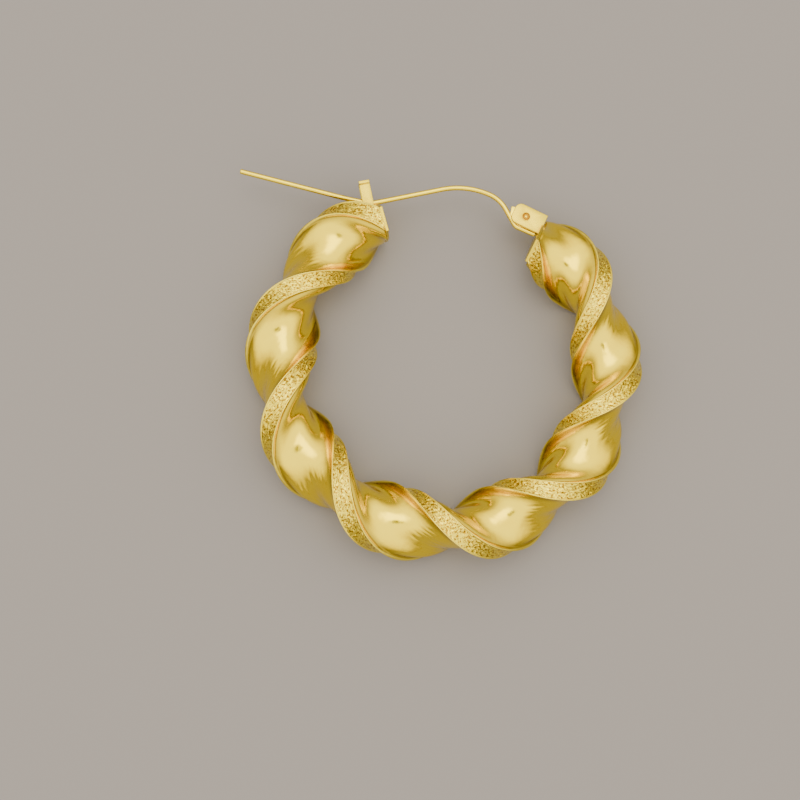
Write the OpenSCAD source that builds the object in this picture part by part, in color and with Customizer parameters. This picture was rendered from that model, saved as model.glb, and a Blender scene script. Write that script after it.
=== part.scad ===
// Twisted hoop earring: a hollow twisted bar bent into a hoop, with a hinged ear wire and a catch.
// It lies on its side. The origin is under the middle of the whole outline, on the surface it lies on.

/* [Hoop] */
// Radius of the hoop, to the middle of the bar
hoop_r = 20.4; // [19.8:0.1:21]
// Width of the bar from ribbon to ribbon
bar_w = 8.4; // [8:0.1:8.8]
// Width of the bar across its two bulging faces
belly_w = 4.6; // [4.4:0.1:4.8]
// Width of each ribbon
ribbon_w = 3.1; // [2.8:0.1:3.3]
// Height of a ribbon above the groove beside it
ribbon_rise = 0.35; // [0.2:0.05:0.5]
// Thickness of the bar's metal
wall_t = 0.3; // [0.25:0.05:0.35]

/* [Ends] */
// Direction of the catch end from the hoop's centre, in degrees from +X
catch_end_deg = 114; // [112:0.5:116]
// Direction of the hinge end from the hoop's centre, a full turn later than from +X
hinge_end_deg = 413; // [411:0.5:415]
// How far the catch end turns in towards the hoop's centre
catch_turn_in = 0.75; // [0.6:0.05:0.9]
// How far the hinge end turns in towards the hoop's centre
hinge_turn_in = 0.8; // [0.6:0.05:0.9]
// Thickness of the flat cap on each end
cap_t = 0.35; // [0.3:0.05:0.4]
// How far a cap stands out past the bar all round
cap_proud = 0.04; // [0.02:0.01:0.05]

/* [Catch] */
// Width of the catch along the bar
catch_w = 1.35; // [1.2:0.05:1.5]
// Thickness of the catch's strip
catch_t = 0.4; // [0.35:0.05:0.45]
// Gap between the catch's two tabs
catch_gap = 0.86; // [0.8:0.02:0.92]
// Distance from the middle of the bar to the tips of the tabs
catch_reach = 5.8; // [5.4:0.1:6]

/* [Hinge] */
// Distance of the rivet from the end of the bar
rivet_out = 2.6; // [2.5:0.05:2.7]
// Distance of the rivet outwards from the middle of the bar
rivet_across = 2.3; // [2.2:0.05:2.4]
// Radius of the rivet's shank
rivet_r = 0.4; // [0.35:0.05:0.45]
// Running clearance of the hinge leaf's bore round the rivet
hinge_clearance = 0.04; // [0.02:0.01:0.06]
// Thickness of each ear of the bracket
ear_t = 0.42; // [0.4:0.02:0.46]
// Gap between the bracket's two ears
ear_gap = 0.76; // [0.72:0.02:0.8]
// Width of the bracket's ears
ear_w = 2.7; // [2.6:0.05:2.8]

/* [Ear wire] */
// Diameter of the ear wire
wire_d = 0.64; // [0.6:0.02:0.66]
// Thickness of the flat leaf that the rivet goes through
leaf_t = 0.56; // [0.5:0.02:0.6]
// Length of the straight free end, which goes through the ear
post_len = 13.2; // [12:0.1:14]

/* [Hidden] */
$fn = 48;
GOLD = [0.93, 0.80, 0.46];
GOLD_WIRE = [0.95, 0.84, 0.52];
GOLD_RIVET = [0.86, 0.70, 0.36];

// Where a ribbon faces straight up: [degrees along the hoop from the catch end, half turns of the bar]
RIBBON_TOPS = [
    [-36, -1], [1.5, 0], [39, 1], [78, 2], [117, 3],
    [157, 4], [194.5, 5], [231.5, 6], [268.5, 7], [305.5, 8]
];
// Degrees of the hoop over which each end turns in
CATCH_TURN_SPAN = 30;
HINGE_TURN_SPAN = 24;
hoop_span = hinge_end_deg - catch_end_deg;

// Half width of the bar, as [part of the half width, part of the way from groove to belly]
FACE_SHAPE = [[0.82, 0.08], [0.67, 0.45], [0.48, 0.78], [0.24, 0.96], [0, 1]];
INNER_SHAPE = [[0.80, 0.1], [0.42, 0.82], [0, 1]];
// How far a groove lies inside the ribbon's corner
GROOVE_IN = 0.05;
// How much thicker the metal is under a ribbon
RIBBON_WALL_MORE = 0.1;

OUTER_STEPS = 142;
INNER_STEPS = 71;
// Degrees of the hoop between each end and the hollow
VOID_START = 1.5;
// Half the step, in degrees, over which the middle line's direction is taken
HEADING_STEP = 0.05;

// Distance of the wire's middle line from the middle of the bar where it crosses the catch
wire_axis_at_catch = 3.1;
// Catch: depth of its root, setback from the bar's end, lean towards that end, and room under the wire
CATCH_ROOT = 1.9;
CATCH_BACK = 0.4;
CATCH_LEAN = 4.5;
CATCH_SLACK = 0.1;
CATCH_FILLET = 0.15;
// Flared tips of its tabs: length, spread, and the rounding inside and outside
TIP_LEN = 0.5;
TIP_FLARE = 0.15;
TIP_INNER = 0.3;
TIP_OUTER = 0.05;

// Bracket: reach past the rivet, rounding of its corners, and seat of the rivet
EAR_NOSE = 1.75;
EAR_ROUND = 0.85;
RIVET_SEAT = 0.01;
// Web between the ears: distance it stands out of the bar's end, reach towards the hoop's centre
WEB_OUT = 0.75;
WEB_LOW = 0.95;
// How deep the ears and the web are set into the cap, and the web into the ears
CAP_SET = 0.25;
EAR_SET = 0.1;

// Rivet heads, each with a round dimple
HEAD_R = 0.52;
HEAD_T = 0.1;
HEAD_GAP = 0.01;
DIMPLE_R = 0.45;
DIMPLE_DEEP = 0.16;

// Bent part of the ear wire: [straight, radius of the turn after it, degrees of the turn]
WIRE_ROUTE = [
    [2.25, 1.1, -38.5],
    [2.2, 4.2, 38],
    [0, 10, 36],
    [8.6, 3, -23],
    [1.6, 25, -3.5]
];
// Its start seen from the rivet, along and across its first stretch, and the direction of that stretch
WIRE_START = [-1.88, 1.53];
WIRE_HEADING = 156.7;
WIRE_SIDES = 24;
// Degrees of a turn to each ring
RING_TURN = 5.5;
// The bent part is drawn this much thinner, and ends inside the straight post
WIRE_INSET = 0.003;
POST_SET = 0.3;
POST_ROUND = 0.12;

// Leaf: radius of its eye, and its plate from the wire to the eye, seen from the rivet as the wire's start is
LEAF_R = 1.3;
LEAF_CORNER = [[-1.0, 1.4], [1.0, 1.5], [1.9, 0.7], [2.2, -0.66], [0.55, -1.05], [0, 0]];

// The corners of the ribbons swing lowest as the bar turns, so they set the height of the middle plane
mid_z = norm([bar_w / 2, ribbon_w / 2]);
// Middle of the whole outline, measured from the hoop's centre
OUTLINE_MIDDLE = [-0.5, 0.2];
STAND = [-OUTLINE_MIDDLE.x, -OUTLINE_MIDDLE.y, mid_z];

// Middle line of the bar
function catch_ease(s) = max(0, 1 - s / CATCH_TURN_SPAN);
function hinge_ease(s) = max(0, 1 - (hoop_span - s) / HINGE_TURN_SPAN);
function path_r(s) = hoop_r - catch_turn_in * pow(catch_ease(s), 2) - hinge_turn_in * pow(hinge_ease(s), 2);
function path_at(s) = path_r(s) * [cos(catch_end_deg + s), sin(catch_end_deg + s)];
function path_heading(s) =
    let (d = path_at(s + HEADING_STEP) - path_at(s - HEADING_STEP)) atan2(d.y, d.x);
function twist_at(s) = 180 * lookup(s, RIBBON_TOPS);

// Half of the section, from the corner of one ribbon over the belly to the corner of the other
function face_half(shape, a, b, t, foot) =
    let (
        groove = b - GROOVE_IN,
        right = [for (p = shape) [p[0] * a, groove + p[1] * (t - groove)]],
        left = [for (i = [len(right) - 2:-1:0]) [-right[i].x, right[i].y]]
    )
    concat([[a, b], [a - foot, groove]], right, left, [[foot - a, groove], [-a, b]]);
function section(shape, a, b, t, foot) =
    let (h = face_half(shape, a, b, t, foot)) concat(h, [for (p = h) -p]);

end_heading = path_heading(hoop_span);
rivet_at = concat(
    path_at(hoop_span) + rivet_out * [cos(end_heading), sin(end_heading)]
        + rivet_across * [sin(end_heading), -cos(end_heading)],
    [0]
);

outer_section = section(FACE_SHAPE, bar_w / 2, ribbon_w / 2, belly_w / 2, ribbon_rise);
inner_section = section(
    INNER_SHAPE, bar_w / 2 - wall_t - RIBBON_WALL_MORE, ribbon_w / 2 - wall_t, belly_w / 2 - wall_t, ribbon_rise
);

// A ring of the bar is [degrees along the hoop, shift along the bar, growth of the section]
cap_grow = 1 + 2 * cap_proud / belly_w;
outer_rings = concat(
    [[0, -cap_t, cap_grow], [0, 0, cap_grow]],
    [for (i = [0:OUTER_STEPS]) [hoop_span * i / OUTER_STEPS, 0, 1]],
    [[hoop_span, 0, cap_grow], [hoop_span, cap_t, cap_grow]]
);
inner_rings = [for (i = [0:INNER_STEPS]) [VOID_START + (hoop_span - 2 * VOID_START) * i / INNER_STEPS, 0, 1]];

// A profile turned by the twist and stood square across a line at one of its points
function ring_at(centre, heading, turn, profile) = [
    for (p = profile)
        let (
            across = p.x * sin(turn) + p.y * cos(turn),
            up = p.x * cos(turn) - p.y * sin(turn)
        )
        [centre.x + across * sin(heading), centre.y - across * cos(heading), up]
];
function bar_ring(ring, profile) =
    let (heading = path_heading(ring[0]))
    ring_at(
        path_at(ring[0]) + ring[1] * [cos(heading), sin(heading)], heading, twist_at(ring[0]), ring[2] * profile
    );

// A solid through rings of points, closed at each end by strips across the ring
module solid_through(rings) {
    n = len(rings[0]);
    last = len(rings) - 1;
    sides = [
        for (i = [0:last - 1], j = [0:n - 1])
            let (a = i * n + j, b = i * n + (j + 1) % n, c = b + n, d = a + n)
                each [[a, d, b], [b, d, c]]
    ];
    near_end = [for (j = [0:n / 2 - 2]) [j, j + 1, n - 2 - j, n - 1 - j]];
    far_end = [for (q = near_end) [for (k = [3:-1:0]) last * n + q[k]]];
    polyhedron(points = [for (ring = rings) each ring], faces = concat(near_end, sides, far_end), convexity = 12);
}

// Puts its children at an end of the bar: +X out of the end, +Y away from the hoop's centre, +Z up
module at_catch_end() {
    c = path_at(0);
    translate([c.x, c.y, 0]) rotate([0, 0, path_heading(0) + 180]) children();
}
module at_hinge_end() {
    c = path_at(hoop_span);
    translate([c.x, c.y, 0]) rotate([0, 0, path_heading(hoop_span)]) mirror([0, 1, 0]) children();
}

// Two tabs on a floor: one bent strip, open outwards, with tips that flare to guide the wire in
module catch_clip() {
    half = catch_gap / 2;
    outside = half + catch_t;
    floor_top = wire_axis_at_catch - wire_d / 2 - CATCH_SLACK;
    tab = [
        [CATCH_ROOT, 0], [CATCH_ROOT, outside], [catch_reach - TIP_LEN, outside],
        [catch_reach - TIP_OUTER, outside + TIP_FLARE], [catch_reach, outside + TIP_FLARE - TIP_INNER],
        [catch_reach - TIP_LEN, half],
        [floor_top + CATCH_FILLET, half], [floor_top, half - CATCH_FILLET], [floor_top, 0]
    ];
    translate([-catch_w / 2 - CATCH_BACK, 0, 0]) rotate([0, 0, -CATCH_LEAN])
        rotate([90, 0, 90]) translate([0, 0, -catch_w / 2]) linear_extrude(catch_w)
            polygon(concat(tab, [for (i = [len(tab) - 2:-1:1]) [tab[i].x, -tab[i].y]]));
}

// Outline of one ear of the bracket, with the rivet at its origin and the cap on its +X side
module ear_outline() {
    half = ear_w / 2;
    corner = EAR_NOSE - EAR_ROUND;
    difference() {
        union() {
            translate([-corner, -half]) square([corner + rivet_out - cap_t + CAP_SET, ear_w]);
            translate([-EAR_NOSE, -half + EAR_ROUND]) square([2 * EAR_ROUND, ear_w - 2 * EAR_ROUND]);
            for (side = [-1, 1]) translate([-corner, side * (half - EAR_ROUND)]) circle(EAR_ROUND);
        }
        circle(rivet_r + RIVET_SEAT);
    }
}

// Two ears joined by a web against the cap
module hinge_bracket() {
    translate([rivet_out, rivet_across, 0]) mirror([1, 0, 0]) {
        for (z = [ear_gap / 2, -ear_gap / 2 - ear_t])
            translate([0, 0, z]) linear_extrude(ear_t) ear_outline();
        translate([rivet_out - WEB_OUT, -WEB_LOW, -ear_gap / 2 - EAR_SET])
            cube([WEB_OUT - cap_t + CAP_SET, ear_w / 2 + WEB_LOW, ear_gap + 2 * EAR_SET]);
    }
}

module twisted_hoop() {
    color(GOLD) difference() {
        union() {
            solid_through([for (ring = outer_rings) bar_ring(ring, outer_section)]);
            at_catch_end() catch_clip();
            at_hinge_end() hinge_bracket();
        }
        solid_through([for (ring = inner_rings) bar_ring(ring, inner_section)]);
    }
}

// Rivet with a head on each ear, each head dimpled by the punch that set it
module hinge_rivet() {
    half = ear_gap / 2 + ear_t;
    color(GOLD_RIVET) at_hinge_end() translate([rivet_out, rivet_across, 0]) difference() {
        union() {
            cylinder(h = 2 * half + 2 * HEAD_T, r = rivet_r, center = true);
            for (side = [-1, 1])
                translate([0, 0, side * (half + HEAD_GAP + HEAD_T / 2)])
                    cylinder(h = HEAD_T, r = HEAD_R, center = true);
        }
        for (side = [-1, 1])
            translate([0, 0, side * (half + HEAD_GAP + HEAD_T + DIMPLE_R - DIMPLE_DEEP)]) sphere(DIMPLE_R);
    }
}

// The wire's place and direction, [x, y, degrees], after a row's straight and a part of its turn
function wire_after(from, row, part) =
    let (
        side = sign(row[2]) * row[1],
        heading = from[2] + row[2] * part,
        x = from.x + row[0] * cos(from[2]) - side * (sin(from[2]) - sin(heading)),
        y = from.y + row[0] * sin(from[2]) + side * (cos(from[2]) - cos(heading))
    )
    [x, y, heading];
function wire_before(i) = i == 0 ? concat(WIRE_START, [0]) : wire_after(wire_before(i - 1), WIRE_ROUTE[i - 1], 1);

wire_circle = [
    for (i = [0:WIRE_SIDES - 1]) (wire_d / 2 - WIRE_INSET) * [cos(360 * i / WIRE_SIDES), sin(360 * i / WIRE_SIDES)]
];
post_start = wire_before(len(WIRE_ROUTE));
wire_rings = concat(
    [wire_before(0)],
    [
        for (i = [0:len(WIRE_ROUTE) - 1])
            let (from = wire_before(i), row = WIRE_ROUTE[i], steps = ceil(abs(row[2]) / RING_TURN))
                for (k = [row[0] > 0 ? 0 : 1:steps]) wire_after(from, row, k / steps)
    ],
    [wire_after(post_start, [POST_SET, 0, 0], 1)]
);

// Straight post with a rounded tip
module post() {
    r = wire_d / 2;
    rotate([0, 90, 0]) rotate_extrude() polygon([
        [0, 0], [r, 0], [r, post_len - POST_ROUND], [r - POST_ROUND / 3, post_len - POST_ROUND / 3],
        [r - POST_ROUND, post_len], [0, post_len]
    ]);
}

// Flat leaf round the rivet: a round eye with a plate that joins the wire
module hinge_leaf() {
    difference() {
        union() {
            cylinder(h = leaf_t, r = LEAF_R, center = true);
            linear_extrude(leaf_t, center = true) polygon(LEAF_CORNER);
        }
        cylinder(h = 2 * leaf_t, r = rivet_r + hinge_clearance, center = true);
    }
}

module ear_wire() {
    color(GOLD_WIRE) translate(rivet_at) rotate([0, 0, WIRE_HEADING]) {
        hinge_leaf();
        solid_through([for (at = wire_rings) ring_at(at, at[2], 0, wire_circle)]);
        translate([post_start.x, post_start.y, 0]) rotate([0, 0, post_start[2]]) post();
    }
}

translate(STAND) twisted_hoop();
translate(STAND) hinge_rivet();
translate(STAND) ear_wire();
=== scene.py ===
"""Twisted hoop earring in yellow gold, lying on its side on a pale studio floor."""
import math
import random

import bmesh
import bpy
from mathutils import Matrix, Vector, noise


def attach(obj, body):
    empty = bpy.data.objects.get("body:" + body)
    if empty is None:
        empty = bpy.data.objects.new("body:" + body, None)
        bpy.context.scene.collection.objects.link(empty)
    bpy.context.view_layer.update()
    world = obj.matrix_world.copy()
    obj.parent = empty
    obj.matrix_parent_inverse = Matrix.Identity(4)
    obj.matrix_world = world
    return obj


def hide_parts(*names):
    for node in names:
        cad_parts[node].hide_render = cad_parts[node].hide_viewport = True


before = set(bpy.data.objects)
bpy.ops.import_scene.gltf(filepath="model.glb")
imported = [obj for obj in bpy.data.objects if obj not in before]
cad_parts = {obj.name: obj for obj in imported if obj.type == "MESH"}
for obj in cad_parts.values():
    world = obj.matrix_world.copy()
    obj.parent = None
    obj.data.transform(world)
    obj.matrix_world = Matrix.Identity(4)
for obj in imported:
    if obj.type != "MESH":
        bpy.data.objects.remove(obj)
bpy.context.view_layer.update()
MM = 0.001

# The hoop in millimetres, as the CAD solids have it, with its two ends in degrees round its centre
HOOP_CENTRE = Vector((0.5, -0.2, 4.47689))
HOOP_R = 20.4
CATCH_END, HINGE_END = 114, 413
SPAN = HINGE_END - CATCH_END
MM_PER_DEGREE = math.radians(HOOP_R)
# How each end turns in: over so many degrees of the hoop, by so many millimetres at the end
CATCH_TURN_SPAN, CATCH_TURN_IN = 30, 0.75
HINGE_TURN_SPAN, HINGE_TURN_IN = 24, 0.8
# Half the step, in degrees, over which the middle line's direction is taken
HEADING_STEP = 0.05
# Where a ribbon faces straight up: degrees along the hoop from the catch end, half turns of the bar
RIBBON_TOPS = [(-36, -1), (1.5, 0), (39, 1), (78, 2), (117, 3), (157, 4), (194.5, 5), (231.5, 6),
               (268.5, 7), (305.5, 8)]
# Steps in degrees either side of a place whose twists are averaged there
TWIST_BLEND = (-3, -1.5, 0, 1.5, 3)

# Camera: above the hoop and a little to its lower left, as the photograph looks at it, with its distance in
# millimetres
CAMERA_RIGHT = Vector((0.9969, -0.0109, 0.0777))
CAMERA_UP = Vector((0.0, 0.9903, 0.1392))
CAMERA_BACK = CAMERA_RIGHT.cross(CAMERA_UP)
CAMERA_AWAY = 150
# Sensor width and focal length in millimetres, shift in sensor widths
SENSOR_W, LENS = 36, 54
CAMERA_SHIFT = (-0.0566, -0.0448)


def place_camera():
    camera = bpy.data.cameras.new("camera")
    camera.sensor_width, camera.lens = SENSOR_W, LENS
    camera.shift_x, camera.shift_y = CAMERA_SHIFT
    camera.clip_start, camera.clip_end = 0.005, 20
    seat = bpy.data.objects.new("camera", camera)
    bpy.context.scene.collection.objects.link(seat)
    turn = Matrix((CAMERA_RIGHT, CAMERA_UP, CAMERA_BACK)).transposed().to_4x4()
    seat.matrix_world = Matrix.Translation((HOOP_CENTRE + CAMERA_AWAY * CAMERA_BACK) * MM) @ turn
    bpy.context.scene.camera = seat


# Middle line and twist of the bar, at a place given in degrees from the catch end
def turn_in(s):
    catch = max(0, 1 - s / CATCH_TURN_SPAN)
    hinge = max(0, 1 - (SPAN - s) / HINGE_TURN_SPAN)
    return CATCH_TURN_IN * catch ** 2 + HINGE_TURN_IN * hinge ** 2


def path_at(s):
    r, a = HOOP_R - turn_in(s), math.radians(CATCH_END + s)
    return Vector((r * math.cos(a), r * math.sin(a), 0))


def heading_at(s):
    d = path_at(s + HEADING_STEP) - path_at(s - HEADING_STEP)
    return math.atan2(d.y, d.x)


def twist_at(s):
    for (s0, t0), (s1, t1) in zip(RIBBON_TOPS, RIBBON_TOPS[1:]):
        if s <= s1:
            return math.pi * (t0 + (t1 - t0) * (s - s0) / (s1 - s0))
    return math.pi * RIBBON_TOPS[-1][1]


def smooth_twist_at(s):
    return sum(twist_at(s + d) for d in TWIST_BLEND) / len(TWIST_BLEND)


def ahead_of(heading):
    return Vector((math.cos(heading), math.sin(heading), 0))


# Seat of a cross-section: its X towards a ribbon, its Y across a belly, its Z along the bar
def seat_at(point, heading, turn=0.0, grow=1.0, unit=MM):
    side = Vector((math.sin(heading), -math.cos(heading), 0))
    up = Vector((0, 0, 1))
    x = up * math.cos(turn) + side * math.sin(turn)
    y = side * math.cos(turn) - up * math.sin(turn)
    axes = Matrix((x, y, ahead_of(heading))).transposed().to_4x4()
    return Matrix.Translation(point * unit) @ axes @ Matrix.Scale(grow * unit, 4)


def bar_seat(s, grow=1.0, shift=0.0):
    h = heading_at(s)
    return seat_at(HOOP_CENTRE + path_at(s) + shift * ahead_of(h), h, smooth_twist_at(s), grow)


# Fittings in millimetres, as the CAD solids have them.
# Catch: width, setback from the bar's end and lean towards it
CATCH_W = 1.35
CATCH_BACK = 0.4
CATCH_LEAN = 4.5
# Rivet: distance out of the bar's end and across from its middle line, radius, and room to turn
RIVET_OUT, RIVET_ACROSS = 2.6, 2.3
RIVET_R = 0.4
RIVET_SEAT = 0.01
HINGE_CLEARANCE = 0.04
# Bracket: thickness, gap and width of its ears, reach past the rivet, and rounding of their corners
EAR_T, EAR_GAP, EAR_W = 0.42, 0.76, 2.7
EAR_NOSE, EAR_ROUND = 1.75, 0.85
# Web between the ears: distance out of the bar's end, reach towards the hoop's centre, depth in the ears
WEB_OUT, WEB_LOW = 0.75, 0.95
EAR_SET = 0.1
# Leaf and wire: thickness and eye of the leaf, radius of the wire, direction in degrees that it sets off in
LEAF_T, LEAF_R = 0.56, 1.3
WIRE_R = 0.32
WIRE_HEADING = 156.7


def turned(degrees):
    return Matrix.Rotation(math.radians(degrees), 4, "Z")


def shifted(x, y, z=0.0):
    return Matrix.Translation((x, y, z))


def at_end(s, degrees):
    place = HOOP_CENTRE + path_at(s)
    return Matrix.Scale(MM, 4) @ shifted(*place) @ turned(math.degrees(heading_at(s)) + degrees)


# Frames of the fittings. X points away from the bar at the catch, towards it at the hinge, and along the
# wire's first stretch in the wire's.
CATCH_FRAME = at_end(0, 180) @ shifted(-CATCH_BACK - CATCH_W / 2, 0) @ turned(-CATCH_LEAN)
HINGE_FRAME = at_end(SPAN, 0) @ shifted(RIVET_OUT, -RIVET_ACROSS) @ turned(180)
WIRE_FRAME = Matrix.Scale(MM, 4) @ shifted(*(HINGE_FRAME.translation / MM)) @ turned(WIRE_HEADING)
# A plate set on edge: its outline's X and Y become the frame's Y and Z
ON_EDGE = Matrix.Rotation(math.pi / 2, 4, "Y") @ Matrix.Rotation(math.pi / 2, 4, "Z")

# Faces round a bore or the rivet, round the leaf's eye and round a corner of the bracket
ROUND_STEPS, EYE_STEPS, CORNER_STEPS = 40, 30, 8
# Distance in metres below which two points become one
WELD = 1e-7


def smooth_all(bm):
    for f in bm.faces:
        f.smooth = True


# A grid of faces wrapped round a row of seats; each point keeps its place in the section and along the row
def sweep(bm, loops, seats, step=1.0):
    layers = bm.verts.layers.float_vector
    section = layers.get("section") or layers.new("section")
    sides = len(loops[0])
    grid = bmesh.ops.create_grid(bm, x_segments=sides, y_segments=len(seats) - 1, size=1)["verts"]
    for index, v in enumerate(grid):
        row, number = divmod(index, sides + 1)
        x, y = loops[row][number % sides]
        v.co = seats[row] @ Vector((x, y, 0))
        v[section] = (x, y, row * step)
    bmesh.ops.remove_doubles(bm, verts=grid, dist=WELD)
    return section


def close_ends(bm):
    bmesh.ops.holes_fill(bm, edges=[e for e in bm.edges if e.is_boundary], sides=0)


def finish_piece(bm, name, body, replaced, materials, sharp_degrees=40):
    bmesh.ops.recalc_face_normals(bm, faces=bm.faces)
    mesh = bpy.data.meshes.new(name)
    bm.to_mesh(mesh)
    bm.free()
    piece = bpy.data.objects.new(name, mesh)
    bpy.context.scene.collection.objects.link(piece)
    for material in materials:
        mesh.materials.append(material)
    if sharp_degrees:
        mesh.set_sharp_from_angle(angle=math.radians(sharp_degrees))
    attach(piece, body)
    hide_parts(replaced)


# Materials
def hex_colour(text):
    parts = [int(text[i:i + 2], 16) / 255 for i in (1, 3, 5)]
    return tuple(c / 12.92 if c <= 0.04045 else ((c + 0.055) / 1.055) ** 2.4 for c in parts) + (1,)


def add_node(tree, kind, settings=None, inputs=None, links=None):
    node = tree.nodes.new(kind)
    for key, value in (settings or {}).items():
        setattr(node, key, value)
    for key, value in (inputs or {}).items():
        node.inputs[key].default_value = value
    for key, source in (links or {}).items():
        tree.links.new(source, node.inputs[key])
    return node


def set_stops(node, stops):
    ramp = node.color_ramp
    while len(ramp.elements) < len(stops):
        ramp.elements.new(0.5)
    for element, (place, colour) in zip(ramp.elements, stops):
        element.position, element.color = place, hex_colour(colour)
    return node.outputs["Color"]


# Distances from the section's middle towards a ribbon over which the groove's gold is darkened as painted
# shade and the lip's is turned bright as a painted highlight, and the colours of the two
GROOVE_SHADE_REACH = (2.8, 3.7)
LIP_HIGHLIGHT_REACH = (3.8, 3.95)
GROOVE_SHADE_AND_LIP_HIGHLIGHT = [(0.0, "#C0A62C"), (1.0, "#FFE84E")]
# Size of the noise that makes the pits, its levels between which they deepen, and their colour
PIT_SIZE = 0.24
PIT_LEVELS = (0.485, 0.38)
PIT_COLOUR = "#A88016"
# Size of the faint blotches in every gold, and the noise levels between which its two colours mix
BLOTCH_SIZE = 3.0
NOISE_LEVELS = (0.3, 0.7)


# Painted shade: the gold in the groove beside each ribbon is darkened, where shade falls between the belly
# and the lip. Painted highlight: the ribbon's lip is made bright and pale.
def groove_shade_and_lip_highlight(tree, colour):
    section = add_node(tree, "ShaderNodeAttribute", {"attribute_name": "section"}).outputs["Vector"]
    towards = add_node(tree, "ShaderNodeSeparateXYZ", links={"Vector": section}).outputs["X"]
    reach = add_node(tree, "ShaderNodeMath", {"operation": "ABSOLUTE"}, links={0: towards}).outputs["Value"]
    near = add_node(tree, "ShaderNodeMapRange", {"interpolation_type": "SMOOTHSTEP"},
                    {"From Min": GROOVE_SHADE_REACH[0], "From Max": GROOVE_SHADE_REACH[1]}, {"Value": reach})
    lip_highlight = add_node(tree, "ShaderNodeMapRange", {"interpolation_type": "LINEAR"},
                      {"From Min": LIP_HIGHLIGHT_REACH[0], "From Max": LIP_HIGHLIGHT_REACH[1]}, {"Value": reach})
    edge = add_node(tree, "ShaderNodeValToRGB", links={"Fac": lip_highlight.outputs["Result"]})
    return add_node(tree, "ShaderNodeMix", {"data_type": "RGBA"}, {},
                    {0: near.outputs["Result"], 6: colour, 7: set_stops(edge, GROOVE_SHADE_AND_LIP_HIGHLIGHT)}).outputs[2]


# Light leaves a pit of the stippling only after a second bounce, so it looks darker. The pits are drawn
# coarser than real ones, so that they show.
def pit_tint(tree, colour, place):
    speck = add_node(tree, "ShaderNodeTexNoise", {}, {"Scale": 1 / (PIT_SIZE * MM), "Detail": 1.0},
                     {"Vector": place}).outputs["Fac"]
    deep = add_node(tree, "ShaderNodeMapRange", {"interpolation_type": "SMOOTHSTEP"},
                    {"From Min": PIT_LEVELS[0], "From Max": PIT_LEVELS[1]}, {"Value": speck})
    return add_node(tree, "ShaderNodeMix", {"data_type": "RGBA"}, {7: hex_colour(PIT_COLOUR)},
                    {0: deep.outputs["Result"], 6: colour}).outputs[2]


# Gold of one finish: two colours, a range of roughness, and its waves and grain, each as a size and a depth
# in millimetres. The grain stands for marks that are finer on the real metal, and is as coarse as it needs
# to show. On the bar it is drawn out, as a polishing wheel leaves it, and the grooves get painted shade and
# the ribbons' lips a painted highlight.
def gold(name, colours, roughness, wave, grain, along_bar=1.0, pitted=False):
    mat = bpy.data.materials.new(name)
    mat.use_nodes = True
    tree = mat.node_tree
    shader = tree.nodes["Principled BSDF"]
    shader.inputs["Metallic"].default_value = 1.0
    wave_size, wave_depth = wave
    grain_size, grain_depth = grain
    place = add_node(tree, "ShaderNodeTexCoord").outputs["Object"]
    blotch = add_node(tree, "ShaderNodeTexNoise", {}, {"Scale": 1 / (BLOTCH_SIZE * MM), "Detail": 2.0},
                      {"Vector": place}).outputs["Fac"]
    tint = add_node(tree, "ShaderNodeValToRGB", links={"Fac": blotch})
    colour = set_stops(tint, list(zip(NOISE_LEVELS, colours)))
    drawn, grain_scale = place, 1 / (grain_size * MM)
    if along_bar > 1:
        # Painted shade in the grooves beside the ribbons and a painted highlight on their lips
        colour = groove_shade_and_lip_highlight(tree, colour)
        section = add_node(tree, "ShaderNodeAttribute", {"attribute_name": "section"}).outputs["Vector"]
        drawn = add_node(tree, "ShaderNodeMapping", {}, {"Scale": (1, 1, 1 / along_bar)},
                         {"Vector": section}).outputs["Vector"]
        grain_scale = 1 / grain_size
    if pitted:
        colour = pit_tint(tree, colour, place)
    low = add_node(tree, "ShaderNodeTexNoise", {}, {"Scale": 1 / (wave_size * MM), "Detail": 1.0},
                   {"Vector": place}).outputs["Fac"]
    fine = add_node(tree, "ShaderNodeTexNoise", {}, {"Scale": grain_scale, "Detail": 3.0},
                    {"Vector": drawn}).outputs["Fac"]
    waves = add_node(tree, "ShaderNodeBump", {}, {"Strength": 1.0, "Distance": wave_depth * MM},
                     {"Height": low}).outputs["Normal"]
    bumps = add_node(tree, "ShaderNodeBump", {}, {"Strength": 1.0, "Distance": grain_depth * MM},
                     {"Height": fine, "Normal": waves}).outputs["Normal"]
    rough = add_node(tree, "ShaderNodeMapRange", {"interpolation_type": "LINEAR"},
                     {"From Min": NOISE_LEVELS[0], "From Max": NOISE_LEVELS[1],
                      "To Min": roughness[0], "To Max": roughness[1]}, {"Value": fine}).outputs["Result"]
    for key, source in (("Base Color", colour), ("Roughness", rough), ("Normal", bumps)):
        tree.links.new(source, shader.inputs[key])
    return mat


# Polished on a wheel: a bright mirror, a little uneven, with soft streaks along the bar
POLISHED = gold("wheel_polished_14k_gold", ("#FFDD1E", "#FFE22C"), roughness=(0.13, 0.21),
                wave=(1.1, 0.03), grain=(0.3, 0.0016), along_bar=12)
# Stippled with a diamond tool: every grain is a small facet, so the ribbon glitters between dark pits
DUSTED = gold("diamond_dusted_14k_gold", ("#FFE32E", "#FFE844"), roughness=(0.14, 0.26),
              wave=(0.8, 0.02), grain=(0.16, 0.008), pitted=True)
# Sawn from sheet and buffed: nearly flat, with soft edges and a satin shine
PLATE = gold("buffed_sheet_14k_gold", ("#DDC01E", "#E8CC2E"), roughness=(0.24, 0.36),
             wave=(1.5, 0.012), grain=(0.15, 0.002))
# Drawn wire: bright, with very fine marks that blur the highlight
WIRE = gold("drawn_14k_gold_wire", ("#F6D82A", "#FEE23A"), roughness=(0.16, 0.26),
            wave=(1.2, 0.006), grain=(0.1, 0.001))
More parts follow.
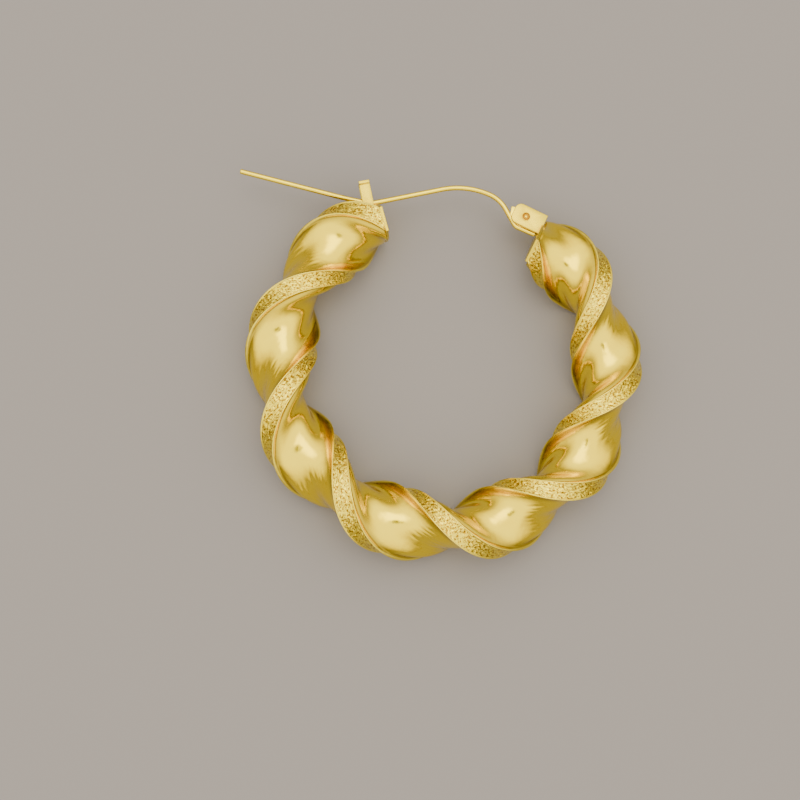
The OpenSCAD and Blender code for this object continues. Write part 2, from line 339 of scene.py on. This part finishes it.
# Dull gold, painted dark as shade: the ring round the middle of the rivet's cup, whose slope lies in shade
RIVET_RING_SHADE = gold("rivet_ring_shade_14k_gold", ("#B98416", "#C9961E"), roughness=(0.3, 0.42),
              wave=(0.5, 0.006), grain=(0.08, 0.002))

# Section of the bar, round from the middle of one ribbon's floor: distance towards the ribbon, and across.
# The ribbon's half width and steps, its lip, and where the belly's face starts
RIBBON_FLOOR = 4.12
RIBBON_HALF = 1.3
RIBBON_STEPS = 3
LIP = [(4.125, 1.32), (4.17, 1.36), (4.195, 1.42), (4.19, 1.49), (4.13, 1.55), (3.95, 1.545),
       (3.85, 1.52), (3.78, 1.502)]
BELLY_EDGE, BELLY_FOOT = 3.61, 1.5
BELLY_STEPS = 20
# Relief of a belly: its swell, its shoulders and how they swing as the bar turns, and its lean to one ribbon
BELLY_SWELL = 0.8
SHOULDER, SHOULDER_SWING, SWING_LAG = -0.12, 1.45, 0.72
LEAN, SHOULDER_LEAN = 0.2, -1.95
# Rows of faces along the bar, and how many times an edge is cut where flutes and grain need finer faces
BAR_ROWS = 270
FLUTE_CUTS = 2
GRAIN_CUTS = 2


# Height of a belly: full where it faces sideways, a rounded ridge where it faces up, with a groove by one
# ribbon
def belly(x, turn, side):
    u = x / BELLY_EDGE
    swing = math.cos(2 * turn + SWING_LAG)
    shoulders = (SHOULDER + SHOULDER_SWING * swing) * u * u
    return BELLY_FOOT + (1 - u * u) * (BELLY_SWELL + shoulders + side * u * (LEAN + SHOULDER_LEAN * u * u))


def bar_section(turn):
    floor = [(RIBBON_FLOOR, RIBBON_HALF * i / RIBBON_STEPS) for i in range(RIBBON_STEPS + 1)]
    face = [BELLY_EDGE * math.cos(math.pi * i / BELLY_STEPS) for i in range(BELLY_STEPS + 1)]
    ribbon = floor + LIP
    far_ribbon = [(-x, y) for x, y in reversed(ribbon)]
    front = ribbon + [(x, belly(x, turn, 1)) for x in face] + far_ribbon
    back = ribbon + [(x, belly(x, turn, -1)) for x in face] + far_ribbon
    return front + [(x, -y) for x, y in reversed(back[1:-1])]


# Flutes that a diamond cutter leaves side by side on the outer belly, before and after each ribbon's top
FLUTES = [  # across, along, turn in degrees, half length, half width, depth
    (-2.5, -0.3, 12, 1.1, 0.24, 0.040),
    (-1.95, 0.3, 8, 1.5, 0.26, 0.055),
    (-1.4, -0.3, 5, 1.8, 0.26, 0.065),
    (-0.9, 0.4, 3, 1.5, 0.26, 0.065),
    (-0.4, -0.2, 1, 1.9, 0.27, 0.070),
    (0.1, 0.5, -1, 1.6, 0.27, 0.070),
    (0.6, -0.4, -2, 1.9, 0.26, 0.065),
    (1.1, 0.3, -4, 1.5, 0.26, 0.060),
    (1.6, -0.3, -7, 1.6, 0.26, 0.055),
    (2.1, 0.3, -10, 1.2, 0.24, 0.045),
]
# Distance along the bar from a ribbon's top to the row of flutes
FLUTE_ROW = 2.6
# Small changes from row to row: across, along, turn in degrees, part of the length, part of the depth
FLUTE_SEED = 11
FLUTE_ACROSS, FLUTE_ALONG, FLUTE_TURN = 0.08, 0.25, 5
FLUTE_LONG, FLUTE_DEEP = (0.8, 1.15), (0.7, 1.1)
# How high on the belly and how near along the bar a point has to be for a flute to cut it, and how many
# times a flute's own size is made finer for it
FLUTE_LOW, FLUTE_REACH = 1.4, 2.5
FLUTE_MARGIN = 1.25


def flutes_of_bar():
    rng = random.Random(FLUTE_SEED)
    cuts = []
    for top, half_turns in RIBBON_TOPS[1:-1]:
        face = -1 if half_turns % 2 else 1
        for way in (-1, 1):
            middle = top * MM_PER_DEGREE + way * FLUTE_ROW
            for across, along, turn, long, wide, deep in FLUTES:
                cuts.append((across * way + rng.uniform(-FLUTE_ACROSS, FLUTE_ACROSS),
                             middle + way * along + rng.uniform(-FLUTE_ALONG, FLUTE_ALONG),
                             math.radians(turn + rng.uniform(-FLUTE_TURN, FLUTE_TURN)),
                             long * rng.uniform(*FLUTE_LONG), wide, deep * rng.uniform(*FLUTE_DEEP), face))
    return cuts


def flute_depth(place, cuts, margin=1.0):
    deepest = 0.0
    for across, along, turn, long, wide, deep, face in cuts:
        if place.y * face < FLUTE_LOW or abs(place.z - along) > FLUTE_REACH:
            continue
        dx, dz = place.x - across, place.z - along
        u = (dz * math.cos(turn) + dx * math.sin(turn)) / (long * margin)
        v = (dx * math.cos(turn) - dz * math.sin(turn)) / (wide * margin)
        deepest = max(deepest, deep * (1 - u * u - v * v))
    return deepest


def refine(bm, faces, cuts):
    edges = list({e for f in faces for e in f.edges})
    bmesh.ops.subdivide_edges(bm, edges=edges, cuts=cuts, use_grid_fill=True)


# Grain of the ribbons: size and height of its lumps, height that each point jumps, and shift of each point.
# It is drawn coarser than the real stippling, so that it shows.
GRAIN_SEED = 7
GRAIN_SIZE, GRAIN_RISE = 0.3, 0.08
GRAIN_JUMP, GRAIN_SHIFT = 0.025, 0.02
# Dents of the bellies: size and height, drawn coarser and deeper than real ones so that they show
DENT_SIZE, DENT_RISE = 2.2, 0.07
# Distance within which a point of the section counts as on an edge
EDGE_SLACK = 0.001


def on_ribbon(place):
    return abs(place.x) > RIBBON_FLOOR - EDGE_SLACK and abs(place.y) < RIBBON_HALF + EDGE_SLACK


def grain_at(v, rng):
    rise = GRAIN_RISE * noise.noise(v.co / (GRAIN_SIZE * MM)) + rng.uniform(-GRAIN_JUMP, GRAIN_JUMP)
    return rise * v.normal + GRAIN_SHIFT * Vector([rng.uniform(-1, 1) for _ in range(3)])


def dent_at(v, place):
    return DENT_RISE * noise.noise(v.co / (DENT_SIZE * MM)) * (1 - (place.x / BELLY_EDGE) ** 4)


def make_bar():
    bm = bmesh.new()
    degrees = SPAN / BAR_ROWS
    rows = [k * degrees for k in range(BAR_ROWS + 1)]
    section = sweep(bm, [bar_section(smooth_twist_at(s)) for s in rows], [bar_seat(s) for s in rows],
                    degrees * MM_PER_DEGREE)
    cuts = flutes_of_bar()
    fluted = [f for f in bm.faces if any(flute_depth(v[section], cuts, FLUTE_MARGIN) for v in f.verts)]
    refine(bm, fluted, FLUTE_CUTS)
    refine(bm, [f for f in bm.faces if all(on_ribbon(v[section]) for v in f.verts)], GRAIN_CUTS)
    bm.normal_update()
    rng = random.Random(GRAIN_SEED)
    for v in bm.verts:
        place = v[section]
        if on_ribbon(place) and abs(place.y) < RIBBON_HALF - EDGE_SLACK and not v.is_boundary:
            v.co += MM * grain_at(v, rng)
        elif abs(place.x) < BELLY_EDGE:
            v.co += MM * (dent_at(v, place) - flute_depth(place, cuts)) * v.normal
    for f in bm.faces:
        f.smooth = not all(on_ribbon(v[section]) for v in f.verts)
        f.material_index = 0 if f.smooth else 1
    close_ends(bm)
    finish_piece(bm, "twisted_bar", "hoop", "twisted_hoop", [POLISHED, DUSTED], 0)


# Flat cap on each end, standing a little proud of the bar: a quarter of the bar's outline, and the cap's
# layers as distance out of the bar's end and how much the edge is trimmed there
CAP_QUARTER = [(4.2, 1.2), (4.2, 1.5), (4.15, 1.55), (3.85, 1.5), (3.44, 1.564), (2.81, 1.86), (2.02, 2.12),
               (1.01, 2.27), (0, 2.3)]
CAP_PROUD, BELLY_W = 0.04, 4.6
CAP_GROW = 1 + 2 * CAP_PROUD / BELLY_W
CAP_LAYERS = [(0.0, 0.003), (0.05, 0), (0.28, 0), (0.33, 0.003), (0.35, 0.014)]


def make_caps():
    top = CAP_QUARTER + [(-x, y) for x, y in reversed(CAP_QUARTER[:-1])]
    loop = top + [(-x, -y) for x, y in top]
    bm = bmesh.new()
    for s, way, layers in ((0, -1, CAP_LAYERS[::-1]), (SPAN, 1, CAP_LAYERS)):
        seats = [bar_seat(s, CAP_GROW - trim, way * out) for out, trim in layers]
        sweep(bm, [loop] * len(seats), seats)
    close_ends(bm)
    smooth_all(bm)
    finish_piece(bm, "end_caps", "hoop", "twisted_hoop", [PLATE], 30)


# A plate cut to an outline, with a hole at the origin where it has a bore, and its edges rounded
def cut_plate(bm, outline, low, high, frame_of, bore=0.0, soften=0.05, sharp_degrees=25):
    part = bmesh.new()
    rim = [part.verts.new((x, y, low)) for x, y in outline]
    edges = [part.edges.new(pair) for pair in zip(rim, rim[1:] + rim[:1])]
    if bore:
        ring = bmesh.ops.create_circle(part, segments=ROUND_STEPS, radius=bore, matrix=shifted(0, 0, low))
        edges += list({e for v in ring["verts"] for e in v.link_edges})
    filled = bmesh.ops.triangle_fill(part, edges=edges, use_beauty=True)["geom"]
    faces = [g for g in filled if isinstance(g, bmesh.types.BMFace)]
    raised = bmesh.ops.extrude_face_region(part, geom=faces)["geom"]
    top = [g for g in raised if isinstance(g, bmesh.types.BMVert)]
    bmesh.ops.translate(part, verts=top, vec=(0, 0, high - low))
    bmesh.ops.recalc_face_normals(part, faces=part.faces)
    sharp = [e for e in part.edges if e.calc_face_angle() > math.radians(sharp_degrees)]
    bmesh.ops.bevel(part, geom=sharp, offset=soften, segments=3, profile=0.5, affect="EDGES", material=-1)
    smooth_all(part)
    part.transform(frame_of)
    mesh = bpy.data.meshes.new("plate")
    part.to_mesh(mesh)
    part.free()
    bm.from_mesh(mesh)
    bpy.data.meshes.remove(mesh)


def arc(x, y, r, start, stop, steps):
    angles = [math.radians(start + (stop - start) * i / steps) for i in range(steps + 1)]
    return [(x + r * math.cos(a), y + r * math.sin(a)) for a in angles]


# Catch clip: two spring tabs with a slot between them, flared where the wire snaps in. One tab's outline,
# as distance from the bar's middle line and height above the middle of the slot.
TAB = [(1.9, 0), (1.9, 0.83), (5.25, 0.83), (5.42, 0.98), (5.75, 0.98), (5.8, 0.68), (5.3, 0.43),
       (2.83, 0.43), (2.68, 0.28), (2.68, 0)]


def make_catch():
    bm = bmesh.new()
    outline = TAB + [(y, -z) for y, z in reversed(TAB[1:-1])]
    cut_plate(bm, outline, -CATCH_W / 2, CATCH_W / 2, CATCH_FRAME @ ON_EDGE)
    finish_piece(bm, "catch_clip", "hoop", "twisted_hoop", [PLATE])


# Hinge bracket: two ears that hold the rivet, joined by a web soldered to the cap
def make_bracket():
    foot, half = RIVET_OUT - EAR_SET, EAR_W / 2
    inner, outer = EAR_GAP / 2, EAR_GAP / 2 + EAR_T
    x, y = EAR_ROUND - EAR_NOSE, half - EAR_ROUND
    corners = arc(x, y, EAR_ROUND, 90, 180, CORNER_STEPS) + arc(x, -y, EAR_ROUND, 180, 270, CORNER_STEPS)
    ear = [(foot, -half), (foot, half)] + corners
    near = RIVET_OUT - WEB_OUT
    web = [(near, -WEB_LOW), (foot, -WEB_LOW), (foot, half), (near, half)]
    bore = RIVET_R + RIVET_SEAT
    bm = bmesh.new()
    cut_plate(bm, ear, inner, outer, HINGE_FRAME, bore, soften=0.08)
    cut_plate(bm, ear, -outer, -inner, HINGE_FRAME, bore, soften=0.08)
    cut_plate(bm, web, -inner - EAR_SET, inner + EAR_SET, HINGE_FRAME, soften=0.03)
    finish_piece(bm, "hinge_bracket", "hoop", "twisted_hoop", [PLATE])


# Rivet: a shank with a head peened into a shallow cup at each end. The upper half's outline, as radius and
# height, and the ring round its middle that is painted dark as shade in the cup, by its radii and lowest
# height.
RIVET_PROFILE = [(0, 0.85), (0.1, 0.845), (0.17, 0.82), (0.21, 0.77), (0.25, 0.75), (0.31, 0.76),
                 (0.37, 0.81), (0.42, 0.88), (0.46, 0.905), (0.5, 0.9), (0.52, 0.88), (0.52, 0.82),
                 (0.5, 0.81), (RIVET_R, 0.81)]
SHADED_RING = (0.17, 0.5)
SHADED_RING_ABOVE = 0.7


# Whether a point lies on the ring that is painted dark as shade in the rivet's cup
def in_shaded_ring(place):
    return SHADED_RING[0] < place.xy.length < SHADED_RING[1] and abs(place.z) > SHADED_RING_ABOVE


def make_rivet():
    bm = bmesh.new()
    profile = RIVET_PROFILE + [(r, -z) for r, z in reversed(RIVET_PROFILE)]
    points = [bm.verts.new((r, 0, z)) for r, z in profile]
    edges = [bm.edges.new(pair) for pair in zip(points, points[1:])]
    bmesh.ops.spin(bm, geom=points + edges, cent=(0, 0, 0), axis=(0, 0, 1), angle=2 * math.pi,
                   steps=ROUND_STEPS, use_merge=True)
    bmesh.ops.remove_doubles(bm, verts=bm.verts, dist=WELD / MM)
    smooth_all(bm)
    # The ring round the middle of each cup takes the gold painted dark as shade
    for f in bm.faces:
        f.material_index = in_shaded_ring(f.calc_center_median())
    bm.transform(HINGE_FRAME)
    finish_piece(bm, "hinge_rivet_peened", "hoop", "hinge_rivet", [WIRE, RIVET_RING_SHADE])


# Leaf: the flat end of the wire, turning on the rivet between the ears. Its eye is round between these
# angles, and its plate has these corners.
EYE_ANGLES = (125.5, 311.3)
LEAF_CORNERS = [(2.2, -0.66), (1.9, 0.7), (1.0, 1.5), (-1.0, 1.4)]


def make_leaf():
    outline = arc(0, 0, LEAF_R, *EYE_ANGLES, EYE_STEPS) + LEAF_CORNERS
    bm = bmesh.new()
    cut_plate(bm, outline, -LEAF_T / 2, LEAF_T / 2, WIRE_FRAME, RIVET_R + HINGE_CLEARANCE)
    finish_piece(bm, "wire_leaf", "wire", "ear_wire", [WIRE])


# Ear wire: straights and turns from the leaf to the catch, then the straight post with its rounded tip
WIRE_START = Vector((-1.88, 1.53, 0))
WIRE_ROUTE = [  # straight, turn radius, turn in degrees
    (2.25, 1.1, -38.5),
    (2.2, 4.2, 38),
    (0, 10, 36),
    (8.6, 3, -23),
    (1.6, 25, -3.5),
]
# Degrees of a turn to each ring of faces, the fewest rings in a turn, and the faces of a ring
RING_TURN = 3
FEWEST_RINGS = 3
WIRE_SIDES = 30
POST_LENGTH = 13.2
POST_TIP = [  # distance back from the tip, how much thinner
    (0.12, 0),
    (0.06, 0.012),
    (0.02, 0.05),
    (0.0, 0.12),
]


def wire_seats():
    spot, heading = WIRE_START, 0.0
    stops = [(spot, heading, 0)]
    for straight, radius, turn in WIRE_ROUTE:
        spot = spot + straight * ahead_of(heading)
        stops.append((spot, heading, 0))
        steps = max(FEWEST_RINGS, math.ceil(abs(turn) / RING_TURN))
        bend = math.radians(turn) / steps
        for _ in range(steps):
            spot = spot + 2 * radius * math.sin(abs(bend) / 2) * ahead_of(heading + bend / 2)
            heading += bend
            stops.append((spot, heading, 0))
    for back, thinner in POST_TIP:
        stops.append((spot + (POST_LENGTH - back) * ahead_of(heading), heading, thinner))
    return [WIRE_FRAME @ seat_at(p, h, grow=1 - t / WIRE_R, unit=1) for p, h, t in stops]


def make_wire():
    bm = bmesh.new()
    seats = wire_seats()
    sweep(bm, [arc(0, 0, WIRE_R, 0, 360, WIRE_SIDES)[:-1]] * len(seats), seats)
    close_ends(bm)
    smooth_all(bm)
    finish_piece(bm, "bent_wire", "wire", "ear_wire", [WIRE], 50)


# Half the side of the pale floor, in metres
STAGE_HALF = 0.8


def make_floor():
    bm = bmesh.new()
    bmesh.ops.create_grid(bm, x_segments=1, y_segments=1, size=STAGE_HALF)
    mesh = bpy.data.meshes.new("floor")
    bm.to_mesh(mesh)
    bm.free()
    floor = bpy.data.objects.new("floor", mesh)
    bpy.context.scene.collection.objects.link(floor)
    # Matt board: takes a soft shadow and shows no shine of its own
    mat = bpy.data.materials.new("pale_matt_board")
    mat.use_nodes = True
    shader = mat.node_tree.nodes["Principled BSDF"]
    shader.inputs["Base Color"].default_value = hex_colour("#8B8682")
    shader.inputs["Roughness"].default_value = 0.9
    shader.inputs["Specular IOR Level"].default_value = 0.1
    mesh.materials.append(mat)


# Soft white room, dim at the horizon and bright overhead, by the height of a direction
WALL_HEIGHTS = (0.0, 0.8)
WALL_LIGHT = (0.48, 2.3)
WALL_SHADES = [(0.0, "#FFEACB"), (0.7, "#FFFAF0")]
# Key light: direction, half angles in degrees where it starts and where it is full, and strength
KEY_FROM = Vector((-0.03, 0.2, 0.98)).normalized()
KEY_ANGLES = (26, 8)
KEY_LIGHT = 2.5
# Small dark opening where the camera looks in: its half angles, and the part of the light that it takes
OPENING_ANGLES = (9, 5)
OPENING_TAKES = 0.85


# How far a direction lies inside a cone, from 0 at its wide angle to 1 at its tight one
def cone(tree, way, towards, angles):
    aim = add_node(tree, "ShaderNodeVectorMath", {"operation": "DOT_PRODUCT"}, {1: towards}, {0: way})
    start, full = (math.cos(math.radians(a)) for a in angles)
    return add_node(tree, "ShaderNodeMapRange", {"interpolation_type": "SMOOTHSTEP"},
                    {"From Min": start, "From Max": full}, {"Value": aim.outputs["Value"]}).outputs["Result"]


def light_room():
    world = bpy.data.worlds.new("soft_room")
    bpy.context.scene.world = world
    world.use_nodes = True
    tree = world.node_tree
    background = tree.nodes["Background"]
    way = add_node(tree, "ShaderNodeTexCoord").outputs["Generated"]
    height = add_node(tree, "ShaderNodeSeparateXYZ", links={"Vector": way}).outputs["Z"]
    walls = add_node(tree, "ShaderNodeMapRange", {"interpolation_type": "SMOOTHSTEP"},
                     {"From Min": WALL_HEIGHTS[0], "From Max": WALL_HEIGHTS[1],
                      "To Min": WALL_LIGHT[0], "To Max": WALL_LIGHT[1]}, {"Value": height}).outputs["Result"]
    key = cone(tree, way, KEY_FROM, KEY_ANGLES)
    opening = cone(tree, way, CAMERA_BACK, OPENING_ANGLES)
    lit = add_node(tree, "ShaderNodeMath", {"operation": "MULTIPLY_ADD"}, {1: KEY_LIGHT}, {0: key, 2: walls})
    left = add_node(tree, "ShaderNodeMath", {"operation": "MULTIPLY_ADD"}, {1: -OPENING_TAKES, 2: 1.0},
                    {0: opening})
    level = add_node(tree, "ShaderNodeMath", {"operation": "MULTIPLY"},
                     links={0: lit.outputs["Value"], 1: left.outputs["Value"]})
    warmth = add_node(tree, "ShaderNodeValToRGB", links={"Fac": height})
    tree.links.new(set_stops(warmth, WALL_SHADES), background.inputs["Color"])
    tree.links.new(level.outputs["Value"], background.inputs["Strength"])


place_camera()
make_floor()
light_room()
make_bar()
make_caps()
make_catch()
make_bracket()
make_rivet()
make_leaf()
make_wire()
